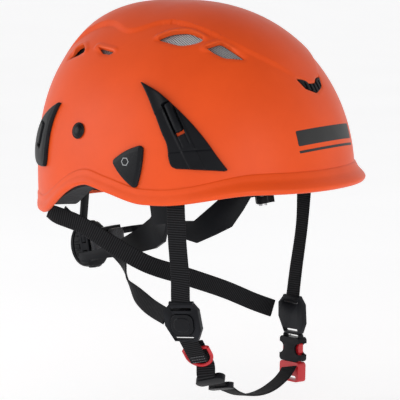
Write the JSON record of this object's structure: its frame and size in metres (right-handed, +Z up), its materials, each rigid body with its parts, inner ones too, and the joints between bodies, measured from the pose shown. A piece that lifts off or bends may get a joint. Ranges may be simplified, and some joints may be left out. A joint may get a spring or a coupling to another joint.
{
  "type": "work helmet",
  "caption": "Climbing-style work helmet: vented shell with brim over a foam liner, headlamp clips, rear band sized by a toothed wheel, and webbing chin strap with side-release buckle.",
  "frame": {"origin": "centre of the wearer's head at the height of the headband, on the mid-plane", "axes": "+X to the front, +Y to the wearer's left, +Z up to the crown"},
  "size_m": [0.2789, 0.2196, 0.3257],
  "materials": {
    "shell_orange": "satin, moulded in colour",
    "liner_foam": "fine expanded foam",
    "black_plastic": "fine spark texture",
    "vent_metal": "perforated sheet",
    "comfort_pad": "knitted cover over foam",
    "webbing": "ribbed woven webbing",
    "red_plastic": "satin",
    "pin_steel": "turned"
  },
  "bodies": {
    "helmet": {"shell": "shell_orange", "liner_front": "liner_foam", "liner_rear": "liner_foam", "liner_right": "liner_foam", "liner_left": "liner_foam", "liner_crown": "liner_foam", "front_vent_insert": "black_plastic", "vent_mesh_right": "vent_metal", "vent_mesh_left": "vent_metal", "lamp_clip_front_right": "black_plastic", "lamp_clip_front_left": "black_plastic", "lamp_clip_rear_right": "black_plastic", "lamp_clip_rear_left": "black_plastic", "visor_socket_right": "black_plastic", "visor_socket_left": "black_plastic", "rivet_right": "black_plastic", "rivet_left": "black_plastic", "crown_pad": "comfort_pad", "headband": "black_plastic", "brow_pad": "comfort_pad", "tilt_pin_right": "pin_steel", "tilt_pin_left": "pin_steel", "strap_front_right": "webbing", "strap_front_left": "webbing", "strap_rear_right": "webbing", "strap_rear_left": "webbing", "chin_strap_near": "webbing", "divider_right": "black_plastic", "divider_left": "black_plastic", "strap_tongue": "webbing", "strap_slider": "black_plastic", "strap_keeper": "black_plastic", "buckle_socket": "black_plastic"},
    "cradle": {"temple_link_right": "black_plastic", "temple_link_left": "black_plastic", "arm_pin_right": "pin_steel", "arm_pin_left": "pin_steel"},
    "arm_right_body": {"arm_right": "black_plastic"},
    "arm_left_body": {"arm_left": "black_plastic"},
    "nape_unit": {"nape_housing": "black_plastic", "cover_plate": "black_plastic", "knob_axle": "pin_steel", "nape_pad_right": "comfort_pad", "nape_pad_left": "comfort_pad"},
    "wheel": {"size_knob": "black_plastic", "pinion": "red_plastic"},
    "lamp_finger_front_right": {"lamp_tongue_front_right": "black_plastic"},
    "lamp_finger_front_left": {"lamp_tongue_front_left": "black_plastic"},
    "lamp_finger_rear_right": {"lamp_tongue_rear_right": "black_plastic"},
    "lamp_finger_rear_left": {"lamp_tongue_rear_left": "black_plastic"},
    "cap_right": {"visor_cap_right": "black_plastic"},
    "cap_left": {"visor_cap_left": "black_plastic"},
    "flap_right": {"divider_flap_right": "black_plastic"},
    "flap_left": {"divider_flap_left": "black_plastic"},
    "ring": {"adjuster_ring": "red_plastic"},
    "plug": {"buckle_plug": "red_plastic", "chin_strap_far": "webbing"},
    "prong_front": {"buckle_prong_front": "red_plastic"},
    "prong_rear": {"buckle_prong_rear": "red_plastic"}
  },
  "joints": [
    {"name": "cradle_tilt", "type": "hinge", "parent": "helmet", "child": "cradle", "pos_m": [0.022, 0, 0.002], "axis": [0, 1, 0], "range_deg": [-5, 5]},
    {"name": "nape_slide", "type": "slide", "parent": "cradle", "child": "nape_unit", "axis": [0.9848, 0, 0.1736], "range_m": [-0.0055, 0.0023]},
    {"name": "wheel_turn", "type": "hinge", "parent": "nape_unit", "child": "wheel", "pos_m": [-0.09149, 0, -0.07995], "axis": [-0.9848, 0, -0.1736], "range_deg": [-55, 138]},
    {"name": "arm_right_open", "type": "hinge", "parent": "cradle", "child": "arm_right_body", "pos_m": [0.03265, -0.06195, -0.02963], "axis": [-0.1736, 0, 0.9848], "range_deg": [-2, 5]},
    {"name": "arm_left_open", "type": "hinge", "parent": "cradle", "child": "arm_left_body", "pos_m": [0.03265, 0.06195, -0.02963], "axis": [-0.1736, 0, 0.9848], "range_deg": [-5, 2]},
    {"name": "lamp_finger_front_right_lift", "type": "hinge", "parent": "helmet", "child": "lamp_finger_front_right", "pos_m": [0.04942, -0.09273, 0.05363], "axis": [-0.8008, -0.3451, -0.4895], "range_deg": [0, 8], "stiffness_Nm_per_rad": 0.3},
    {"name": "lamp_finger_rear_right_lift", "type": "hinge", "parent": "helmet", "child": "lamp_finger_rear_right", "pos_m": [-0.08071, -0.08494, 0.03129], "axis": [-0.8232, 0.515, 0.239], "range_deg": [0, 8], "stiffness_Nm_per_rad": 0.3},
    {"name": "lamp_finger_front_left_lift", "type": "hinge", "parent": "helmet", "child": "lamp_finger_front_left", "pos_m": [0.04942, 0.09273, 0.05363], "axis": [0.8008, -0.3451, 0.4895], "range_deg": [0, 8], "stiffness_Nm_per_rad": 0.3},
    {"name": "lamp_finger_rear_left_lift", "type": "hinge", "parent": "helmet", "child": "lamp_finger_rear_left", "pos_m": [-0.08071, 0.08494, 0.03129], "axis": [0.8232, 0.515, -0.239], "range_deg": [0, 8], "stiffness_Nm_per_rad": 0.3},
    {"name": "visor_cap_right_pull", "type": "slide", "parent": "helmet", "child": "cap_right", "axis": [0.0887, -0.9913, 0.097], "range_m": [0, 0.014]},
    {"name": "visor_cap_left_pull", "type": "slide", "parent": "helmet", "child": "cap_left", "axis": [0.0887, 0.9913, 0.097], "range_m": [0, 0.014]},
    {"name": "divider_flap_right_open", "type": "hinge", "parent": "helmet", "child": "flap_right", "pos_m": [0.05581, -0.08064, -0.1275], "axis": [0.9695, 0.2357, 0.0668], "range_deg": [0, 60]},
    {"name": "divider_flap_left_open", "type": "hinge", "parent": "helmet", "child": "flap_left", "pos_m": [0.05581, 0.08076, -0.14786], "axis": [-0.9694, 0.2424, -0.0388], "range_deg": [0, 60]},
    {"name": "adjuster_ring_swing", "type": "hinge", "parent": "helmet", "child": "ring", "pos_m": [0.05639, -0.0658, -0.14145], "axis": [0.9496, 0.2114, 0.2316], "range_deg": [0, 60]},
    {"name": "buckle_release", "type": "slide", "parent": "helmet", "child": "plug", "axis": [0.02, -0.0599, -0.998], "range_m": [0, 0.02]},
    {"name": "prong_front_squeeze", "type": "hinge", "parent": "plug", "child": "prong_front", "pos_m": [0.06295, 0.07555, -0.18004], "axis": [-0.2439, -0.9683, 0.0532], "range_deg": [0, 7], "stiffness_Nm_per_rad": 0.05},
    {"name": "prong_rear_squeeze", "type": "hinge", "parent": "plug", "child": "prong_rear", "pos_m": [0.04957, 0.07889, -0.18051], "axis": [0.2439, 0.9683, -0.0532], "range_deg": [0, 7], "stiffness_Nm_per_rad": 0.05}
  ],
  "couplings": [
    {"joint": "arm_right_open", "follows": "wheel_turn", "ratio": 0.036101},
    {"joint": "arm_left_open", "follows": "wheel_turn", "ratio": -0.036101},
    {"joint": "nape_slide", "follows": "wheel_turn", "m_per_rad": -0.0022364}
  ]
}
